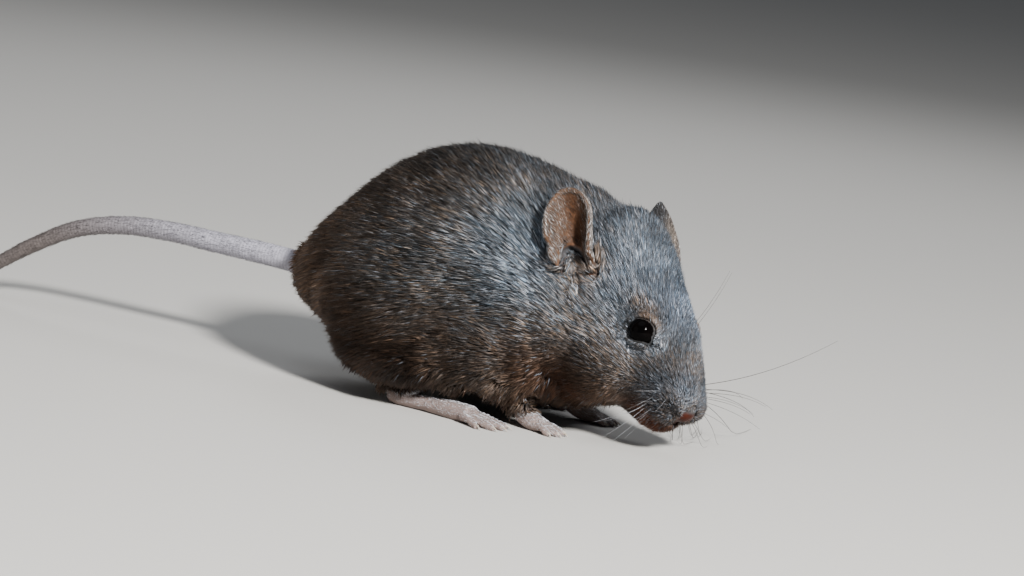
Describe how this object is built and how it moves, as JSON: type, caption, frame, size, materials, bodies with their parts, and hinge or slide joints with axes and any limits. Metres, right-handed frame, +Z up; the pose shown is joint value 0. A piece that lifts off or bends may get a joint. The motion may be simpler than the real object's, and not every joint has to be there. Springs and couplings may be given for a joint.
{
  "type": "house mouse",
  "caption": "Life-size still model of a house mouse on all fours, its back arched, its head lowered and its long tail held out behind.",
  "frame": {"origin": "on the floor, below the middle of the bounding box", "axes": "+X the way the trunk faces, +Y the animal's left, +Z up"},
  "size_m": [0.1176, 0.029, 0.0309],
  "materials": {
    "coat": "short, dense, grey-brown fur",
    "ear_skin": "thin bare skin with sparse short hairs",
    "nose_skin": "moist bare skin",
    "foot_skin": "pale skin with short white hairs",
    "tail_skin": "ringed, scaly skin with short hairs",
    "eye": "wet gloss",
    "claw": "satin horn"
  },
  "bodies": {
    "root": {"head": "coat", "neck": "coat", "trunk": "coat", "foreleg_right": "coat", "foreleg_left": "coat", "hindleg_right": "coat", "hindleg_left": "coat", "ear_right": "ear_skin", "ear_left": "ear_skin", "nose": "nose_skin", "eye_right": "eye", "eye_left": "eye", "forefoot_right": "foot_skin", "forefoot_left": "foot_skin", "hindfoot_right": "foot_skin", "hindfoot_left": "foot_skin", "tail_base": "tail_skin", "tail_middle": "tail_skin", "tail_tip": "tail_skin"}
  },
  "joints": []
}
